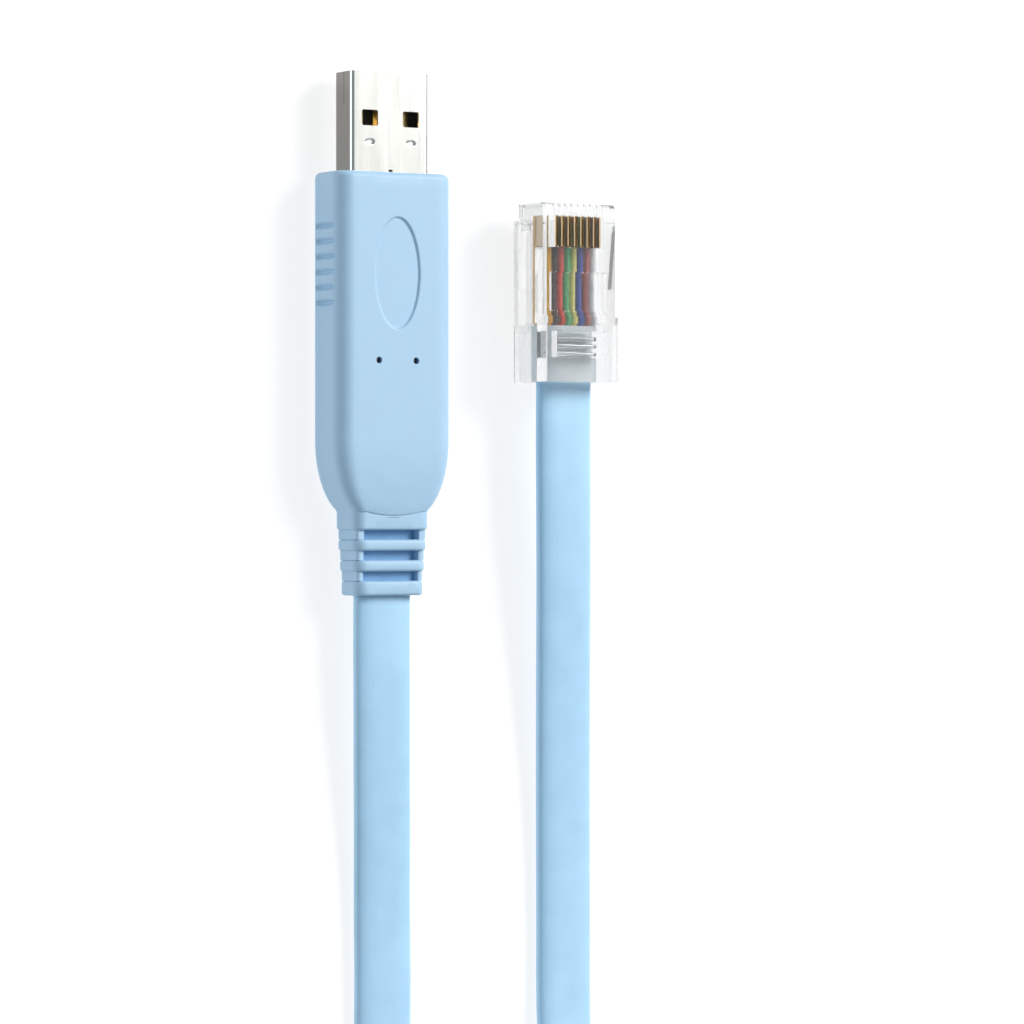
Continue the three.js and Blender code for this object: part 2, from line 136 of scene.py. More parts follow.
def side_height(side):
    """Height of a straight side's middle: the first half of them lie in the lower layer."""
    lower = HANK_BASE + CABLE_WIDTH / 2
    return lower if side < HANK_SIDES / 2 else lower + CABLE_WIDTH + LAYER_GAP


def hank_turns(straight):
    """Points and roll along the turns: down each left side and up each right side, inwards then outwards."""
    points = []
    for side in range(HANK_SIDES):
        left = side % 2 == 0
        x = HANK_TOP.x + (-side_radius(side) if left else side_radius(side))
        for share in (0, 0.33, 0.67, 1):
            down = share if left else 1 - share
            points.append((x, HANK_TOP.y - straight * down, side_height(side), 90))
        if side == HANK_SIDES - 1:
            break
        for i in range(1, END_STEPS):
            share = i / END_STEPS
            angle = math.pi * share + (math.pi if left else 0)
            radius = side_radius(side) + (side_radius(side + 1) - side_radius(side)) * share
            climb = (side_height(side + 1) - side_height(side)) * step_between(share, 0, 1)
            points.append((
                HANK_TOP.x + radius * math.cos(angle),
                HANK_TOP.y - (straight if left else 0) + radius * math.sin(angle),
                side_height(side) + climb,
                90,
            ))
    return points


def line_length(points):
    """Length of the straight lines from point to point."""
    return sum((Vector(b[:3]) - Vector(a[:3])).length for a, b in zip(points, points[1:]))


def step_between(value, start, end):
    """0 before start, 1 after end, and a smooth rise between."""
    share = min(1, max(0, (value - start) / (end - start)))
    return share * share * (3 - 2 * share)


def smooth(mesh, sharp_angle):
    """Smooth shading, broken at the edges that turn by more than the angle."""
    mesh.shade_smooth()
    mesh.set_sharp_from_angle(angle=math.radians(sharp_angle))


def place_piece(name, mesh, material, slot, *nodes):
    """Puts a finished mesh in the scene, in place of the solids that it dresses."""
    mesh.materials.clear()
    mesh.materials.append(material)
    piece = bpy.data.objects.new(name, mesh)
    bpy.context.scene.collection.objects.link(piece)
    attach(piece, "root")
    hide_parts(*nodes)
    piece.modifiers.new("even_shading", "WEIGHTED_NORMAL").keep_sharp = True
    return piece


def new_material(name):
    """A material with its shader, and the object's own coordinates to lay patterns by."""
    material = bpy.data.materials.new(name)
    material.use_nodes = True
    place = material.node_tree.nodes.new("ShaderNodeTexCoord").outputs["Object"]
    return material, material.node_tree.nodes["Principled BSDF"], place


def add_noise(material, place, scale, detail):
    """A noise pattern, as the output of its node."""
    noise = material.node_tree.nodes.new("ShaderNodeTexNoise")
    noise.inputs["Scale"].default_value = scale
    noise.inputs["Detail"].default_value = detail
    material.node_tree.links.new(place, noise.inputs["Vector"])
    return noise.outputs["Fac"]


def add_tint(material, pattern, colour, darkest, brightest):
    """Lets the shader's colour go from darkest to brightest, as shares of the colour, with a pattern."""
    tint = material.node_tree.nodes.new("ShaderNodeValToRGB")
    for stop, position, share in zip(tint.color_ramp.elements, PATTERN_RANGE, (darkest, brightest)):
        stop.position = position
        stop.color = [min(1, c * share) for c in colour] + [1]
    shader = material.node_tree.nodes["Principled BSDF"]
    material.node_tree.links.new(pattern, tint.inputs["Fac"])
    material.node_tree.links.new(tint.outputs["Color"], shader.inputs["Base Color"])


def add_gloss(material, pattern, smoothest, roughest, pattern_range):
    """Lets the shader's roughness go from smoothest to roughest with a pattern."""
    gloss = material.node_tree.nodes.new("ShaderNodeMapRange")
    gloss.inputs["From Min"].default_value = pattern_range[0]
    gloss.inputs["From Max"].default_value = pattern_range[1]
    gloss.inputs["To Min"].default_value = smoothest
    gloss.inputs["To Max"].default_value = roughest
    shader = material.node_tree.nodes["Principled BSDF"]
    material.node_tree.links.new(pattern, gloss.inputs["Value"])
    material.node_tree.links.new(gloss.outputs["Result"], shader.inputs["Roughness"])


def add_relief(material, pattern, depth, onto):
    """Raises a pattern in relief, and feeds it to a normal input of the shader or of other relief."""
    relief = material.node_tree.nodes.new("ShaderNodeBump")
    relief.inputs["Distance"].default_value = depth
    material.node_tree.links.new(pattern, relief.inputs["Height"])
    material.node_tree.links.new(relief.outputs["Normal"], onto.inputs["Normal"])


def plastic(name, colour, roughness, grain_size, grain_depth, mottle=0.03, mottle_size=0.004):
    """Plastic with a fine grain in relief, and a faint unevenness in its colour and its gloss."""
    material, shader, place = new_material(name)
    clouds = add_noise(material, place, 1 / mottle_size, 3)
    add_tint(material, clouds, colour, 1 - mottle, 1 + mottle)
    add_gloss(material, clouds, roughness - GLOSS_SPREAD, roughness + GLOSS_SPREAD, PATTERN_RANGE)
    add_relief(material, add_noise(material, place, 1 / grain_size, 4), grain_depth, shader)
    return material


def add_draw_lines(material, along, across, depth):
    """Faint lengthwise lines of the extruder's die, on a mesh whose map runs along it and round it."""
    nodes = material.node_tree.nodes
    stretch = nodes.new("ShaderNodeMapping")
    stretch.inputs["Scale"].default_value = (along, across, 1)
    mesh_map = nodes.new("ShaderNodeUVMap").outputs["UV"]
    material.node_tree.links.new(mesh_map, stretch.inputs["Vector"])
    lines = add_noise(material, stretch.outputs["Vector"], 1, 2)
    add_relief(material, lines, depth, nodes["Bump"])


end_radii = [(side_radius(side) + side_radius(side + 1)) / 2 for side in range(HANK_SIDES - 1)]
round_ends = math.pi * sum(end_radii)
plug_stretches = line_length(USB_ROUTE) + line_length(RJ45_ROUTE) + JOINS_TO_HANK
hank_straight = (CABLE_LENGTH - plug_stretches - round_ends) / HANK_SIDES
route = USB_ROUTE + hank_turns(hank_straight) + RJ45_ROUTE
line = bpy.data.curves.new("cable_line", "CURVE")
line.dimensions = "3D"
line.twist_mode = "Z_UP"
line.resolution_u = 6
spline = line.splines.new("BEZIER")
spline.bezier_points.add(len(route) - 1)
spline.tilt_interpolation = "BSPLINE"
for point, (x, y, z, roll) in zip(spline.bezier_points, route):
    point.co = (x, y, z)
    point.handle_left_type = point.handle_right_type = "AUTO"
    point.tilt = math.radians(roll)
section_data = bpy.data.curves.new("cable_section", "CURVE")
section_data.dimensions = "2D"
section_line = section_data.splines.new("POLY")
section_line.points.add(SECTION_POINTS - 1)
section_line.use_cyclic_u = True
for i, point in enumerate(section_line.points):
    angle = 2 * math.pi * i / SECTION_POINTS
    across = math.copysign(abs(math.cos(angle)) ** (2 / CABLE_CROWN), math.cos(angle))
    up = math.copysign(abs(math.sin(angle)) ** (2 / CABLE_CROWN), math.sin(angle))
    point.co = (across * CABLE_WIDTH / 2, up * CABLE_THICKNESS / 2, 0, 1)
section = bpy.data.objects.new("cable_section", section_data)
bpy.context.scene.collection.objects.link(section)
line.bevel_mode = "OBJECT"
line.bevel_object = section
line.use_fill_caps = True
line_object = bpy.data.objects.new("cable_line", line)
bpy.context.scene.collection.objects.link(line_object)
depsgraph = bpy.context.evaluated_depsgraph_get()
cable_mesh = bpy.data.meshes.new_from_object(line_object.evaluated_get(depsgraph))
line.bevel_object = None
line.bevel_mode = "ROUND"
depsgraph = bpy.context.evaluated_depsgraph_get()
bare = line_object.evaluated_get(depsgraph).to_mesh()
bpy.data.objects.remove(section)
bpy.data.objects.remove(line_object)
bm = bmesh.new()
bm.from_mesh(cable_mesh)
bmesh.ops.remove_doubles(bm, verts=bm.verts, dist=MERGE)
bmesh.ops.recalc_face_normals(bm, faces=bm.faces)
plug_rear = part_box("rj45_housing")[0].y
everything = [*bm.verts, *bm.edges, *bm.faces]
bmesh.ops.bisect_plane(bm, geom=everything, dist=MERGE, plane_co=(0, plug_rear, 0), plane_no=(0, 1, 0))
bm.to_mesh(cable_mesh)
bm.free()
smooth(cable_mesh, 50)
jacket = plastic("jacket", JACKET_BLUE, 0.42, JACKET_GRAIN, FINE_DEPTH)
add_draw_lines(jacket, 30, 40, 0.00001)
cable_nodes = ("cable_run_usb", "cable_hank", "cable_run_rj45")
cable = place_piece("flat_cable", cable_mesh, jacket, "jacket_blue", *cable_nodes)
# Inside the clear plug the jacket takes a paler colour: painted light against the shade of the clear shell.
jacket_inside_plug_painted_light = plastic("jacket_inside_plug_painted_light", JACKET_PAINTED_LIGHT, 0.35, JACKET_GRAIN, FINE_DEPTH)
cable_mesh.materials.append(jacket_inside_plug_painted_light)
for face in cable_mesh.polygons:
    face.material_index = int(face.center.y > plug_rear)

# Ties
# Two straps of black hook-and-loop tape hold the hank's long sides together. Each is wound round once, and
# its free end is pressed down on the turn below, with rounded corners.
STRAP_BLACK = (0.03, 0.03, 0.033)
STRAP_EDGE = 0.00035
STRAP_LAP = Vector((0.0060, 0.0070, 0.0003))
LAP_CORNER = 0.0012


def add_box(bm, middle, size):
    """Adds a block, and gives its edges in their order in the mesh."""
    place = Matrix.Translation(middle) @ Matrix.Diagonal((*size, 1))
    block = bmesh.ops.create_cube(bm, size=1, matrix=place)
    edges = {edge for vertex in block["verts"] for edge in vertex.link_edges}
    bm.edges.index_update()
    return sorted(edges, key=lambda edge: edge.index)


def upright(edges, height):
    """The edges of a block of that height that run up it."""
    return [e for e in edges if abs(e.verts[0].co.z - e.verts[1].co.z) > height / 2]


def round_edges(bm, edges, width, segments, clamp=False):
    """Rounds edges. The new faces take their neighbours' material."""
    bmesh.ops.bevel(bm, geom=edges, offset=width, offset_type="OFFSET", segments=segments, profile=0.5,
                    affect="EDGES", clamp_overlap=clamp, material=-1)


def softened(node, width, segments=2):
    """A copy of a CAD solid, merged, with its flat faces whole and its edges rounded."""
    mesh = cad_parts[node].data.copy()
    bm = bmesh.new()
    bm.from_mesh(mesh)
    bmesh.ops.remove_doubles(bm, verts=bm.verts, dist=MERGE)
    bmesh.ops.dissolve_limit(bm, angle_limit=math.radians(1), verts=bm.verts, edges=bm.edges)
    sharp = [e for e in bm.edges if e.is_manifold and e.calc_face_angle() > math.radians(30)]
    round_edges(bm, sharp, width, segments, clamp=True)
    bm.to_mesh(mesh)
    bm.free()
    smooth(mesh, 35)
    return mesh


strap_weave = plastic("black_strap", STRAP_BLACK, 0.85, 0.0002, 0.00004, 0.3, 0.0006)
for side in ("left", "right"):
    node = f"hank_tie_{side}"
    low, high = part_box(node)
    strap_mesh = softened(node, STRAP_EDGE, 3)
    under_lap = high.z - STRAP_LAP.z
    bm = bmesh.new()
    bm.from_mesh(strap_mesh)
    for vertex in bm.verts:
        if vertex.co.z > under_lap:
            vertex.co.z -= STRAP_LAP.z
    lap = add_box(bm, ((low.x + high.x) / 2, (low.y + high.y) / 2, high.z - STRAP_LAP.z / 2), STRAP_LAP)
    round_edges(bm, upright(lap, STRAP_LAP.z), LAP_CORNER, 5)
    bm.to_mesh(strap_mesh)
    bm.free()
    smooth(strap_mesh, 35)
    place_piece(f"hank_strap_{side}", strap_mesh, strap_weave, "tie_black", node)

# USB plug shell
# The plug's shell is folded from nickel-plated steel sheet, with two windows and two dimples stamped in each
# broad face, a seam on its side and a small notch at the grip, which holds its rear end. Setbacks are from
# the tip of the shell.
SHELL_WALL = 0.0003
SHELL_CORNER = 0.00055
SHELL_SEAT = 0.003
WINDOW_PITCH = 0.0063
FACE_COLUMNS = 90
LIP_SETBACKS = (0.00008, 0.00018)
PLAIN_SETBACK = 0.004
WINDOW_SIZE = (0.0025, 0.0021)
WINDOW_SETBACK = 0.0062
WINDOW_CORNER = 0.0003
DIMPLE_SETBACK = 0.00935
DIMPLE_SIZE = (0.0015, 0.00085)
DIMPLE_DEPTH = 0.00014
DIMPLE_WALL = (0.6, 1.05)
DIMPLE_ROWS = 21
DIMPLE_ROW_STEP = 0.00006
FIRST_DIMPLE_ROW = DIMPLE_SETBACK - 0.0006
SEAM_RISE = 0.00025
SEAM_SIZE = (0.00022, 0.0092, 0.00011)
NOTCH_SETBACK = 0.0133
NOTCH_SIZE = (0.0006, 0.0006, 0.0008)
NOTCH_CORNER = 0.0001
FACE_SKIN = 0.00001
SKIN_MERGE = 1e-7
BRUSH = (3000, 120, 3000)
NICKEL = (0.91, 0.90, 0.86)
# Colour of the shell's flanks: a painted dark reflection of the shaded table beside the shell.
SIDE_PAINTED_REFLECTION = (0.25, 0.243, 0.23)


def round_quarter(width, height, radius, steps=8):
    """One corner of a rounded section, from its flank to its face, as (x, z)."""
    turns = [math.pi / 2 * i / steps for i in range(steps + 1)]
    x = width / 2 - radius
    z = height / 2 - radius
    return [(x + radius * math.cos(turn), z + radius * math.sin(turn)) for turn in turns]


def ring(quarter, face_shares, flank_steps, middle, y):
    """Points round a section that is alike in its four quarters, in a plane across Y."""
    flank_x, flank_z = quarter[0]
    face_x, face_z = quarter[-1]
    half = [(flank_x, flank_z * (2 * i / flank_steps - 1)) for i in range(1, flank_steps)]
    half += quarter
    half += [(face_x * share, face_z) for share in face_shares]
    half += [(-x, z) for x, z in reversed(quarter)]
    around = half + [(-x, -z) for x, z in half]
    return [(middle.x + x, y, middle.z + z) for x, z in around]


def skin(rings):
    """A skin over rings of as many points each: every point of a grid goes to its place on its ring."""
    around = len(rings[0])
    along = len(rings) - 1
    bm = bmesh.new()
    bmesh.ops.create_grid(bm, x_segments=around, y_segments=along, size=0.5)
    for vertex in bm.verts:
        column = round((vertex.co.x + 0.5) * around) % around
        row = round((vertex.co.y + 0.5) * along)
        vertex.co = rings[row][column]
    bmesh.ops.remove_doubles(bm, verts=bm.verts, dist=SKIN_MERGE)
    return bm


def close(bm):
    """Closes open ends and turns the faces outwards."""
    open_edges = [edge for edge in bm.edges if edge.is_boundary]
    if open_edges:
        bmesh.ops.holes_fill(bm, edges=open_edges)
    bmesh.ops.recalc_face_normals(bm, faces=bm.faces)


def to_mesh(bm, name):
    """Ends the work on a bmesh, and gives it as a mesh."""
    mesh = bpy.data.meshes.new(name)
    bm.to_mesh(mesh)
    bm.free()
    return mesh


def cut_away(mesh, cutters):
    """The mesh without the space of the cutters, each a closed bmesh."""
    body = bpy.data.objects.new("body", mesh)
    bpy.context.scene.collection.objects.link(body)
    tools = []
    for cutter in cutters:
        tool = bpy.data.objects.new("cutter", to_mesh(cutter, "cutter"))
        bpy.context.scene.collection.objects.link(tool)
        cut = body.modifiers.new("cut", "BOOLEAN")
        cut.operation = "DIFFERENCE"
        cut.solver = "EXACT"
        cut.object = tool
        tools.append(tool)
    depsgraph = bpy.context.evaluated_depsgraph_get()
    result = bpy.data.meshes.new_from_object(body.evaluated_get(depsgraph))
    for used in [body, *tools]:
        bpy.data.objects.remove(used)
    return result


def box_cutter(middle, size, corner=0):
    """A block, with its four upright edges rounded where a corner is given."""
    bm = bmesh.new()
    edges = add_box(bm, middle, size)
    if corner:
        round_edges(bm, upright(edges, size[2]), corner, 4)
    return bm


def metal(name, colour, roughness, brush, brush_depth, metallic=1):
    """Plated metal with fine brush lines, and gloss that varies a little with them."""
    material, shader, place = new_material(name)
    shader.inputs["Metallic"].default_value = metallic
    stretch = material.node_tree.nodes.new("ShaderNodeMapping")
    stretch.inputs["Scale"].default_value = brush
    material.node_tree.links.new(place, stretch.inputs["Vector"])
    lines = add_noise(material, stretch.outputs["Vector"], 1, 5)
    add_tint(material, lines, colour, 0.97, 1.02)
    add_gloss(material, lines, roughness * 0.8, roughness * 1.2, PATTERN_RANGE)
    add_relief(material, lines, brush_depth, shader)
    return material


shell_low, shell_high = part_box("usb_shell")
shell_middle = (shell_low + shell_high) / 2
shell_size = shell_high - shell_low
tip = shell_high.y
rear = shell_low.y
inner_size = shell_size - Vector((2, 0, 2)) * SHELL_WALL
lip_size = shell_size - Vector((1, 0, 1)) * SHELL_WALL
outer_wall = round_quarter(shell_size.x, shell_size.z, SHELL_CORNER, 6)
inner_wall = round_quarter(inner_size.x, inner_size.z, SHELL_CORNER - SHELL_WALL, 6)
lip_wall = round_quarter(lip_size.x, lip_size.z, SHELL_CORNER - SHELL_WALL / 2, 6)
shell_rows = [(inner_wall, rear)]
shell_rows += [(inner_wall, tip - setback) for setback in reversed(LIP_SETBACKS)]
shell_rows += [(lip_wall, tip)]
shell_rows += [(outer_wall, tip - setback) for setback in (*LIP_SETBACKS, PLAIN_SETBACK)]
shell_rows += [(outer_wall, tip - FIRST_DIMPLE_ROW - DIMPLE_ROW_STEP * i) for i in range(DIMPLE_ROWS)]
shell_rows += [(outer_wall, rear), (inner_wall, rear)]
face_shares = [1 - 2 * i / FACE_COLUMNS for i in range(1, FACE_COLUMNS)]
bm = skin([ring(quarter, face_shares, 6, shell_middle, y) for quarter, y in shell_rows])
for vertex in bm.verts:
    place = vertex.co - shell_middle
    if abs(place.z) > shell_size.z / 2 - FACE_SKIN:
        x = (abs(place.x) - WINDOW_PITCH / 2) / (DIMPLE_SIZE[0] / 2)
        y = (tip - vertex.co.y - DIMPLE_SETBACK) / (DIMPLE_SIZE[1] / 2)
        sink = 1 - step_between(math.hypot(x, y), *DIMPLE_WALL)
        vertex.co.z -= math.copysign(DIMPLE_DEPTH * sink, place.z)
close(bm)
shell_cutters = []
for side in (-1, 1):
    window = (shell_middle.x + side * WINDOW_PITCH / 2, tip - WINDOW_SETBACK, shell_middle.z)
    shell_cutters.append(box_cutter(window, (*WINDOW_SIZE, shell_size.z * 2), WINDOW_CORNER))
seam = (shell_low.x, tip, shell_middle.z + SEAM_RISE)
shell_cutters.append(box_cutter(seam, SEAM_SIZE))
notch = (shell_middle.x, tip - NOTCH_SETBACK, shell_high.z)
shell_cutters.append(box_cutter(notch, NOTCH_SIZE, NOTCH_CORNER))
shell_mesh = cut_away(to_mesh(bm, "usb_shell"), shell_cutters)
smooth(shell_mesh, 32)
nickel = metal("nickel_plate", NICKEL, 0.10, BRUSH, 0.0000015)
# The flat faces of each flank are a little rougher, and their dark grey colour is a painted reflection of the
# shaded table beside the shell.
side_painted_reflection = metal("rougher_side_painted_reflection", SIDE_PAINTED_REFLECTION, 0.3, BRUSH, 0.000002)
place_piece("usb_plug_shell", shell_mesh, nickel, "plug_shell", "usb_shell")
shell_mesh.materials.append(side_painted_reflection)
# The flat outer faces of the flanks take the painted reflection.
for face in shell_mesh.polygons:
    side_for_painted_reflection = abs(face.center.x - shell_middle.x) > shell_size.x / 2 - SHELL_WALL / 2
    face.material_index = int(side_for_painted_reflection and abs(face.normal.x) > 0.98)

# Tongue and contacts of the USB plug
# A black moulded tongue lies in the shell's lower half, and four gilt strips on it show at the plug's mouth.
TONGUE_BLACK = (0.018, 0.016, 0.014)
GILT = (0.86, 0.62, 0.26)
CONTACT_BRUSH = (2500, 400, 2500)

black_plastic = plastic("black_insulator", TONGUE_BLACK, 0.45, 0.0003, 0.000008, 0.15, 0.0015)
gilt = metal("gilt", GILT, 0.24, CONTACT_BRUSH, 0.000002)
tongue_mesh = softened("usb_tongue", 0.00012)
place_piece("usb_contact_tongue", tongue_mesh, black_plastic, "insulator", "usb_tongue")
for number in range(1, 5):
    node = f"usb_contact_{number}"
    place_piece(f"usb_contact_strip_{number}", softened(node, 0.00005), gilt, "contact_gold", node)

# Grip and strain relief
# One moulding in light blue elastomer, cast round the shell's rear end and the end of the flat cable: a grip
# with six thumb grooves on each flank and a sunk oval on its face, and a slotted tail that lets the cable
# flex. Setbacks are from the grip's front.
GRIP_WIDTH = 0.0176
GRIP_HEIGHT = 0.0084
GRIP_CORNER = 0.0022
GRIP_LENGTH = 0.0449
EDGE_ROUND = 0.0008
SOCKET_CLEARANCE = 0.00005
PLAIN_ROWS = (0.0022, 0.0036)
FINE_START = 0.005
FINE_STEP = 0.00011
FINE_ROWS = 151
COARSE_ROWS = (0.0235, 0.0265, 0.0295, 0.0325)
SHOULDER_ROWS = 24
SHOULDER_LENGTH = 0.0092
SHOULDER_SHARE = 0.9
SHOULDER_LIP = 0.00018
LIP_BULGE = 0.0005
LIP_BULGE_START = -0.002
LIP_BULGE_HALF_WIDTH = 0.0042
BULGE_ROWS = (0.00045, 0.0009)
TAIL_WIDTH = 0.0115
TAIL_HEIGHT = 0.0064
TAIL_CORNER = 0.0015
TAIL_STEP = 0.00016
TAIL_EDGE = 0.00038
COLLAR_LENGTH = 0.0026
RIB_COUNT = 3
RIB_LENGTH = 0.0015
SLOT_LENGTH = 0.00125
END_RING_LENGTH = 0.00195
CORE_HALF_WIDTH = 0.0042
CORE_HALF_HEIGHT = 0.00132
SPINE_DROP = 0.00045
SPINE_INSET = 0.00022
HOLE_SIZE = (0.0087, 0.0029)
HOLE_CORNER = 0.0009
HOLE_DEPTH = 0.0015
EDGE_COLUMNS = (0.9, 0.8, 0.7)
OVAL_BAND = 0.6
OVAL_COLUMNS = 72
OVAL_SIZE = (0.0068, 0.0148)
OVAL_SETBACK = 0.0134
OVAL_DEPTH = 0.00026
OVAL_WALL = 0.00022
GROOVE_SETBACK = 0.0072
GROOVE_PITCH = 0.00204
GROOVE_COUNT = 6
GROOVE_DEPTH = 0.00055
GROOVE_HALF_WIDTH = 0.00058
GROOVE_HALF_HEIGHT = 0.0021
GROOVE_FADE = (0.0002, 0.0003)
PINHOLE_RADIUS = 0.00045
PINHOLE_PITCH = 0.0057
PINHOLE_SETBACK = 0.025
PINHOLE_DEPTH = 0.0014
GRIP_BLUE = (0.40, 0.60, 0.785)
# Darker blue of the slot floors: painted shade in the slots of the tail.
SLOT_FLOOR_PAINTED_SHADE = (0.17, 0.38, 0.64)
CORE_SKIN = 0.00004
GRIP_GRAIN = 0.00035


def spine_quarter(flank, spine_top):
    """One corner of the tail inside a slot: the spine on the flank, then the step down to the core."""
    edge = CORE_HALF_WIDTH
    return [
        (flank, spine_top - 0.0004),
        (flank - 0.00008, spine_top - 0.00018),
        (flank - 0.00020, spine_top - 0.00005),
        (flank - 0.00032, spine_top),
        (edge + 0.00012, spine_top),
        (edge + 0.00003, spine_top - 0.00006),
        (edge, (spine_top + CORE_HALF_HEIGHT) / 2),
        (edge - 0.00004, CORE_HALF_HEIGHT + 0.00003),
        (edge - 0.00015, CORE_HALF_HEIGHT),
    ]


def rounded_rim(width, height, corner, edge, turns):
    """Rows of a rim from its open end inwards, each with how far back it lies."""
    rows = []
    for turn in turns:
        inset = edge * (1 - math.sin(math.radians(turn)))
        back = edge * (1 - math.cos(math.radians(turn)))
        rows.append((round_quarter(width - 2 * inset, height - 2 * inset, corner - inset), back))
    return rows


def tail_ring(start, length, width, height):
    """Rows of one rib of the tail, with its two rims rounded."""
    rim = rounded_rim(width, height, TAIL_CORNER, TAIL_EDGE, (0, 30, 60, 90))
    rows = [(quarter, start + back) for quarter, back in rim]
    return rows + [(quarter, start + length - back) for quarter, back in reversed(rim)]


grip_low, grip_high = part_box("usb_overmold")
grip_middle = (grip_low + grip_high) / 2
front = grip_high.y
socket_size = shell_size + Vector((2, 0, 2)) * SOCKET_CLEARANCE
socket = round_quarter(socket_size.x, socket_size.z, SHELL_CORNER)
grip_rows = [(socket, SHELL_SEAT + SOCKET_CLEARANCE), (socket, 0)]
grip_rows += rounded_rim(GRIP_WIDTH, GRIP_HEIGHT, GRIP_CORNER, EDGE_ROUND, (0, 22.5, 45, 67.5, 90))
full_quarter = round_quarter(GRIP_WIDTH, GRIP_HEIGHT, GRIP_CORNER)
fine_rows = [FINE_START + FINE_STEP * i for i in range(FINE_ROWS)]
grip_rows += [(full_quarter, setback) for setback in (*PLAIN_ROWS, *fine_rows, *COARSE_ROWS)]
shoulder_start = GRIP_LENGTH - SHOULDER_LENGTH
whole_drop = 1 - math.sqrt(1 - SHOULDER_SHARE ** 2)
for i in range(SHOULDER_ROWS + 1):
    along = i / SHOULDER_ROWS
    drop = (1 - math.sqrt(1 - (SHOULDER_SHARE * along) ** 2)) / whole_drop
    width = GRIP_WIDTH + (TAIL_WIDTH - GRIP_WIDTH) * drop
    height = GRIP_HEIGHT + (TAIL_HEIGHT + 2 * SHOULDER_LIP - GRIP_HEIGHT) * drop
    corner = GRIP_CORNER + (TAIL_CORNER - GRIP_CORNER) * drop
    grip_rows.append((round_quarter(width, height, corner), shoulder_start + SHOULDER_LENGTH * along))
for turn in (35, 65, 90):
    inset = SHOULDER_LIP * (1 - math.cos(math.radians(turn)))
    back = SHOULDER_LIP * math.sin(math.radians(turn))
    height = TAIL_HEIGHT + 2 * (SHOULDER_LIP - inset)
    grip_rows.append((round_quarter(TAIL_WIDTH, height, TAIL_CORNER), GRIP_LENGTH + back))
tail_quarter = round_quarter(TAIL_WIDTH, TAIL_HEIGHT, TAIL_CORNER)
grip_rows += [(tail_quarter, GRIP_LENGTH + setback) for setback in BULGE_ROWS]
collar = tail_ring(GRIP_LENGTH, COLLAR_LENGTH, TAIL_WIDTH, TAIL_HEIGHT)
grip_rows += collar[len(collar) // 2:]
start = GRIP_LENGTH + COLLAR_LENGTH
for rib in range(1, RIB_COUNT + 1):
    width = TAIL_WIDTH - 2 * TAIL_STEP * rib
    height = TAIL_HEIGHT - 2 * TAIL_STEP * rib
    in_slot = spine_quarter(width / 2 - SPINE_INSET, height / 2 - SPINE_DROP)
    grip_rows += [(in_slot, start), (in_slot, start + SLOT_LENGTH)]
    start += SLOT_LENGTH
    length = RIB_LENGTH if rib < RIB_COUNT else END_RING_LENGTH
    grip_rows += tail_ring(start, length, width, height)
    start += length
hole = round_quarter(*HOLE_SIZE, HOLE_CORNER)
grip_rows += [(hole, start), (hole, start - HOLE_DEPTH)]
face_shares = [*EDGE_COLUMNS]
face_shares += [OVAL_BAND * (1 - 2 * i / OVAL_COLUMNS) for i in range(OVAL_COLUMNS + 1)]
face_shares += [-share for share in reversed(EDGE_COLUMNS)]
bm = skin([ring(quarter, face_shares, 16, grip_middle, front - setback) for quarter, setback in grip_rows])
for vertex in bm.verts:
    place = vertex.co - grip_middle
    setback = front - vertex.co.y
    if PLAIN_ROWS[-1] < setback < shoulder_start:
        x = place.x / (OVAL_SIZE[0] / 2)
        y = (setback - OVAL_SETBACK) / (OVAL_SIZE[1] / 2)
        reach = math.hypot(x, y)
        slope = math.hypot(x / (OVAL_SIZE[0] / 2), y / (OVAL_SIZE[1] / 2)) / max(reach, MERGE)
        outside = (reach - 1) / max(slope, 1)
        if place.z > GRIP_HEIGHT / 2 - FACE_SKIN:
            vertex.co.z -= OVAL_DEPTH * (1 - step_between(outside, -OVAL_WALL / 2, OVAL_WALL / 2))
        grooves_back = round((setback - GROOVE_SETBACK) / GROOVE_PITCH)
        nearest = min(GROOVE_COUNT - 1, max(0, grooves_back))
        off = abs(setback - GROOVE_SETBACK - nearest * GROOVE_PITCH)
        sink = 1 - step_between(off, 0, GROOVE_HALF_WIDTH)
        past_end = abs(place.z) - GROOVE_HALF_HEIGHT
        sink *= 1 - step_between(past_end, -GROOVE_FADE[0], GROOVE_FADE[1])
        vertex.co.x -= math.copysign(GROOVE_DEPTH * sink, place.x)
    past_grip = setback - GRIP_LENGTH
    bulge = step_between(past_grip, LIP_BULGE_START, 0) * (1 - step_between(past_grip, *BULGE_ROWS))
    vertex.co.y -= LIP_BULGE * bulge * max(0, 1 - (place.x / LIP_BULGE_HALF_WIDTH) ** 2)
close(bm)
pinholes = []
for side in (-1, 1):
    bore = bmesh.new()
    centre = (grip_middle.x + side * PINHOLE_PITCH / 2, front - PINHOLE_SETBACK, grip_high.z)
    bmesh.ops.create_cone(bore, cap_ends=True, segments=32, radius1=PINHOLE_RADIUS, radius2=PINHOLE_RADIUS,
                          depth=2 * PINHOLE_DEPTH, matrix=Matrix.Translation(centre))
    pinholes.append(bore)
grip_mesh = cut_away(to_mesh(bm, "usb_grip"), pinholes)
smooth(grip_mesh, 50)
elastomer = plastic("blue_elastomer", GRIP_BLUE, 0.5, GRIP_GRAIN, FINE_DEPTH, 0.02, 0.003)
place_piece("usb_grip", grip_mesh, elastomer, "grip_blue", "usb_overmold")
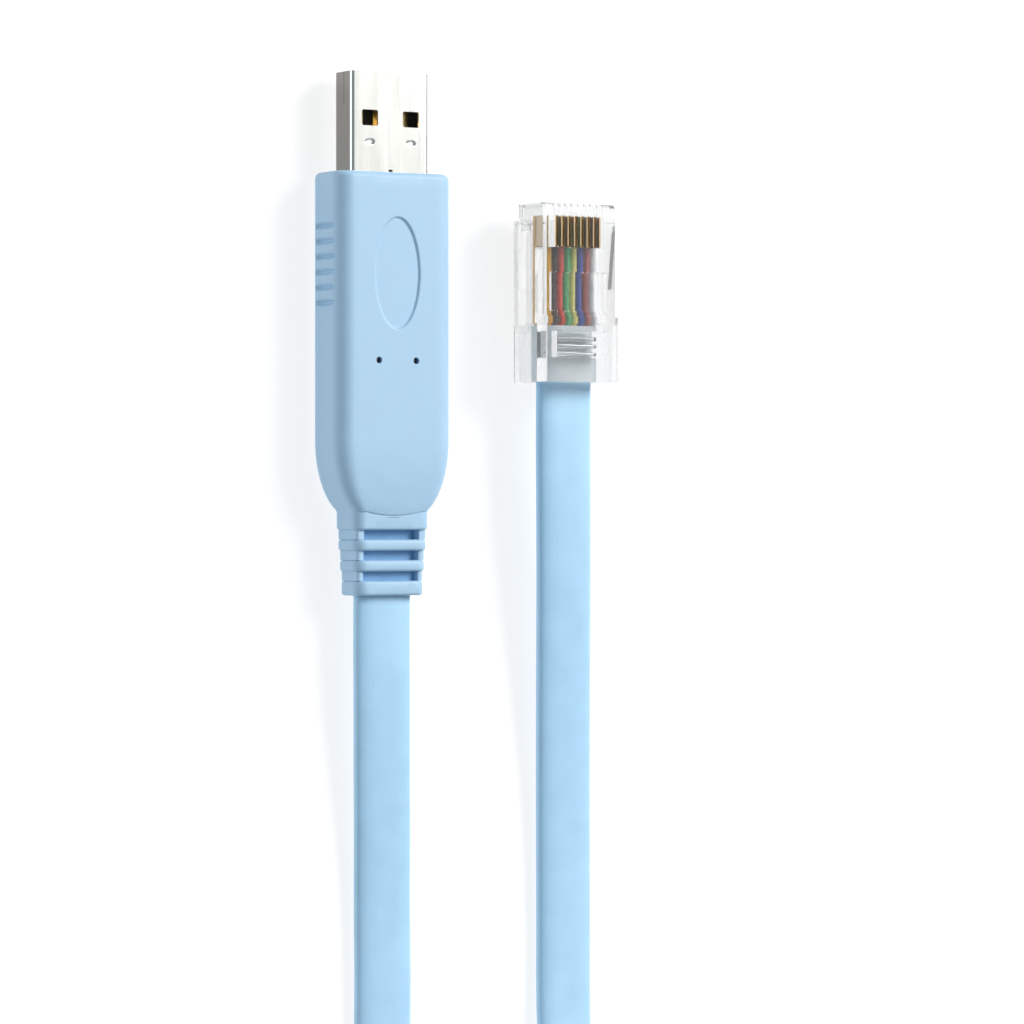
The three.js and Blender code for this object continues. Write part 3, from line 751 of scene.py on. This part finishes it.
# The floors of the tail's slots take a darker blue: painted shade where the slots are deep.
slot_floor_shade = plastic("slot_floor_painted_shade", SLOT_FLOOR_PAINTED_SHADE, 0.4, GRIP_GRAIN, FINE_DEPTH, 0.05, 0.001)
grip_mesh.materials.append(slot_floor_shade)
for face in grip_mesh.polygons:
    place = face.center - grip_middle
    in_tail = front - face.center.y > GRIP_LENGTH + COLLAR_LENGTH
    slot_floor_for_painted_shade = abs(abs(place.z) - CORE_HALF_HEIGHT) < CORE_SKIN and abs(face.normal.z) > 0.9
    face.material_index = int(in_tail and slot_floor_for_painted_shade)

# Light guides
# Two short rods of smoked clear plastic end just below the mouths of the pinholes, and carry the light of the
# status lamps.
GUIDE_BLACK = (0.012, 0.014, 0.018)
guide_plastic = plastic("smoked_guide", GUIDE_BLACK, 0.15, 0.0003, 0.000002, 0.2, 0.0004)
for number in (1, 2):
    node = f"status_led_{number}"
    place_piece(f"light_guide_{number}", softened(node, 0.00008), guide_plastic, "led_window", node)

# Conductors
# Eight insulated conductors come out of the jacket and lie side by side in the clear plug, each under its
# contact.
CONDUCTORS = {
    "orange": (1.0, 0.45, 0.01),
    "black": (0.02, 0.02, 0.023),
    "red": (0.92, 0.05, 0.03),
    "green": (0.06, 0.52, 0.18),
    "yellow": (0.92, 0.83, 0.22),
    "blue": (0.018, 0.085, 0.48),
    "brown": (0.52, 0.085, 0.075),
    "grey": (0.85, 0.85, 0.85),
}
COPPER_CORE_SHARE = 0.45
CONDUCTOR_SIDES = 24
CONDUCTOR_CUTS = 11
CONDUCTOR_SWAY = 0.00002
LIE_ALONG_Y = Matrix.Rotation(math.radians(90), 4, "X")

for number, (colour_name, colour) in enumerate(CONDUCTORS.items(), 1):
    node = f"conductor_{number}_{colour_name}"
    low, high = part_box(node)
    centre = (low + high) / 2
    radius = (high.x - low.x) / 2
    length = high.y - low.y
    bm = bmesh.new()
    bmesh.ops.create_cone(bm, cap_ends=True, segments=CONDUCTOR_SIDES, radius1=radius, radius2=radius,
                          depth=length, matrix=Matrix.Translation(centre) @ LIE_ALONG_Y)
    ends = [face for face in bm.faces if len(face.verts) == CONDUCTOR_SIDES]
    core_edge = radius * (1 - COPPER_CORE_SHARE)
    bmesh.ops.inset_region(bm, faces=ends, thickness=core_edge, use_even_offset=True)
    lengthwise = [e for e in bm.edges if abs(e.verts[0].co.y - e.verts[1].co.y) > length / 2]
    bmesh.ops.subdivide_edges(bm, edges=lengthwise, cuts=CONDUCTOR_CUTS, use_grid_fill=False)
    for vertex in bm.verts:
        share = (vertex.co.y - low.y) / length
        sway = math.sin(7 * share + 2.3 * number) * math.sin(math.pi * share)
        vertex.co.x += CONDUCTOR_SWAY * sway
    bmesh.ops.recalc_face_normals(bm, faces=bm.faces)
    wire_mesh = to_mesh(bm, node)
    smooth(wire_mesh, 40)
    insulation = plastic(f"insulation_{colour_name}", colour, 0.3, 0.0004, 0.000004, 0.06, 0.0012)
    place_piece(f"{colour_name}_conductor", wire_mesh, insulation, f"wire_{colour_name}", node)

# Contacts of the clear plug
# Eight gilt blades stand in the slots of the nose, each over its conductor.
BLADE_GILT = (0.74, 0.53, 0.28)
blade_gilt = metal("blade_gilt", BLADE_GILT, 0.42, CONTACT_BRUSH, 0.000002, 0.45)
for number in range(1, 9):
    node = f"rj45_contact_{number}"
    place_piece(f"rj45_blade_{number}", softened(node, 0.0001), blade_gilt, "contact_gold", node)

# Clear plug
# One moulding in clear polycarbonate with the latch under it, pressed down on the jacket behind and on the
# conductors in front. Ridges cross the pocket over the jacket, each at its distance from the plug's rear.
POCKET_BARS = (0.00385, 0.0049, 0.0059)
BAR_SIZE = (0.0066, 0.00055, 0.0010)
BAR_RISE = 0.00135
BAR_EDGE = 0.00018
CLEAR_TINT = (0.95, 0.955, 0.96, 1)
CLEAR_IOR = 1.58
CLEAR_ALPHA = 0.95
FLOW_SCALE = 700
FLOW_DEPTH = 0.000001
housing_mesh = softened("rj45_housing", 0.00012)
housing_low, housing_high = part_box("rj45_housing")
jacket_top = RJ45_ROUTE[-1][2] + CABLE_THICKNESS / 2
bm = bmesh.new()
bm.from_mesh(housing_mesh)
for from_rear in POCKET_BARS:
    middle_x = (housing_low.x + housing_high.x) / 2
    bar = add_box(bm, (middle_x, housing_low.y + from_rear, jacket_top + BAR_RISE), BAR_SIZE)
    round_edges(bm, bar, BAR_EDGE, 3)
bm.to_mesh(housing_mesh)
bm.free()
smooth(housing_mesh, 35)
clear, shader, place = new_material("clear_polycarbonate")
shader.inputs["Base Color"].default_value = CLEAR_TINT
shader.inputs["Transmission Weight"].default_value = 1
shader.inputs["IOR"].default_value = CLEAR_IOR
shader.inputs["Alpha"].default_value = CLEAR_ALPHA
flow = add_noise(clear, place, FLOW_SCALE, 2)
add_gloss(clear, flow, 0.01, 0.04, (0, 1))
add_relief(clear, flow, FLOW_DEPTH, shader)
place_piece("rj45_plug_body", housing_mesh, clear, "clear_housing", "rj45_housing")

# Floor and lights
# A plain white table, a soft key from the upper right, a large dim panel that the nickel mirrors, a cool fill
# from the left and a pale room. Each light has its direction from the aim, distance, size, power and colour.
FLOOR_WHITE = (0.27, 0.27, 0.27, 1)
FLOOR_GLOW = 0.8
LIGHTS = {
    "key": ((0.60, 0.40, 0.70), 1.1, 0.5, 12.4, (1, 1, 1)),
    "mirror_panel": ((0.504, 0.088, 0.859), 0.9, 0.7, 0.95, (1, 0.99, 0.95)),
    "left_fill": ((-0.98, 0.1, 0.06), 1.0, 0.5, 2.1, (0.72, 0.88, 1)),
}
LIGHT_AIM = Vector((0.0, -0.01, 0.004))
ROOM_COLOUR = (0.85, 0.94, 1, 1)
ROOM_STRENGTH = 0.28
bpy.ops.mesh.primitive_plane_add(size=4)
floor = bpy.context.object
floor.name = "table"
white = bpy.data.materials.new("white_table")
white.use_nodes = True
shader = white.node_tree.nodes["Principled BSDF"]
shader.inputs["Base Color"].default_value = FLOOR_WHITE
shader.inputs["Roughness"].default_value = 0.8
shader.inputs["Specular IOR Level"].default_value = 0.1
shader.inputs["Emission Color"].default_value = (1, 1, 1, 1)
shader.inputs["Emission Strength"].default_value = FLOOR_GLOW
floor.data.materials.append(white)
for name, (direction, distance, size, power, colour) in LIGHTS.items():
    light_data = bpy.data.lights.new(name, "AREA")
    light_data.energy = power
    light_data.size = size
    light_data.color = colour
    light = bpy.data.objects.new(name, light_data)
    towards_light = Vector(direction).normalized()
    light.location = LIGHT_AIM + towards_light * distance
    light.rotation_euler = towards_light.to_track_quat("Z", "Y").to_euler()
    bpy.context.scene.collection.objects.link(light)
room = bpy.data.worlds.new("room")
room.use_nodes = True
background = room.node_tree.nodes["Background"]
background.inputs["Color"].default_value = ROOM_COLOUR
background.inputs["Strength"].default_value = ROOM_STRENGTH
bpy.context.scene.world = room
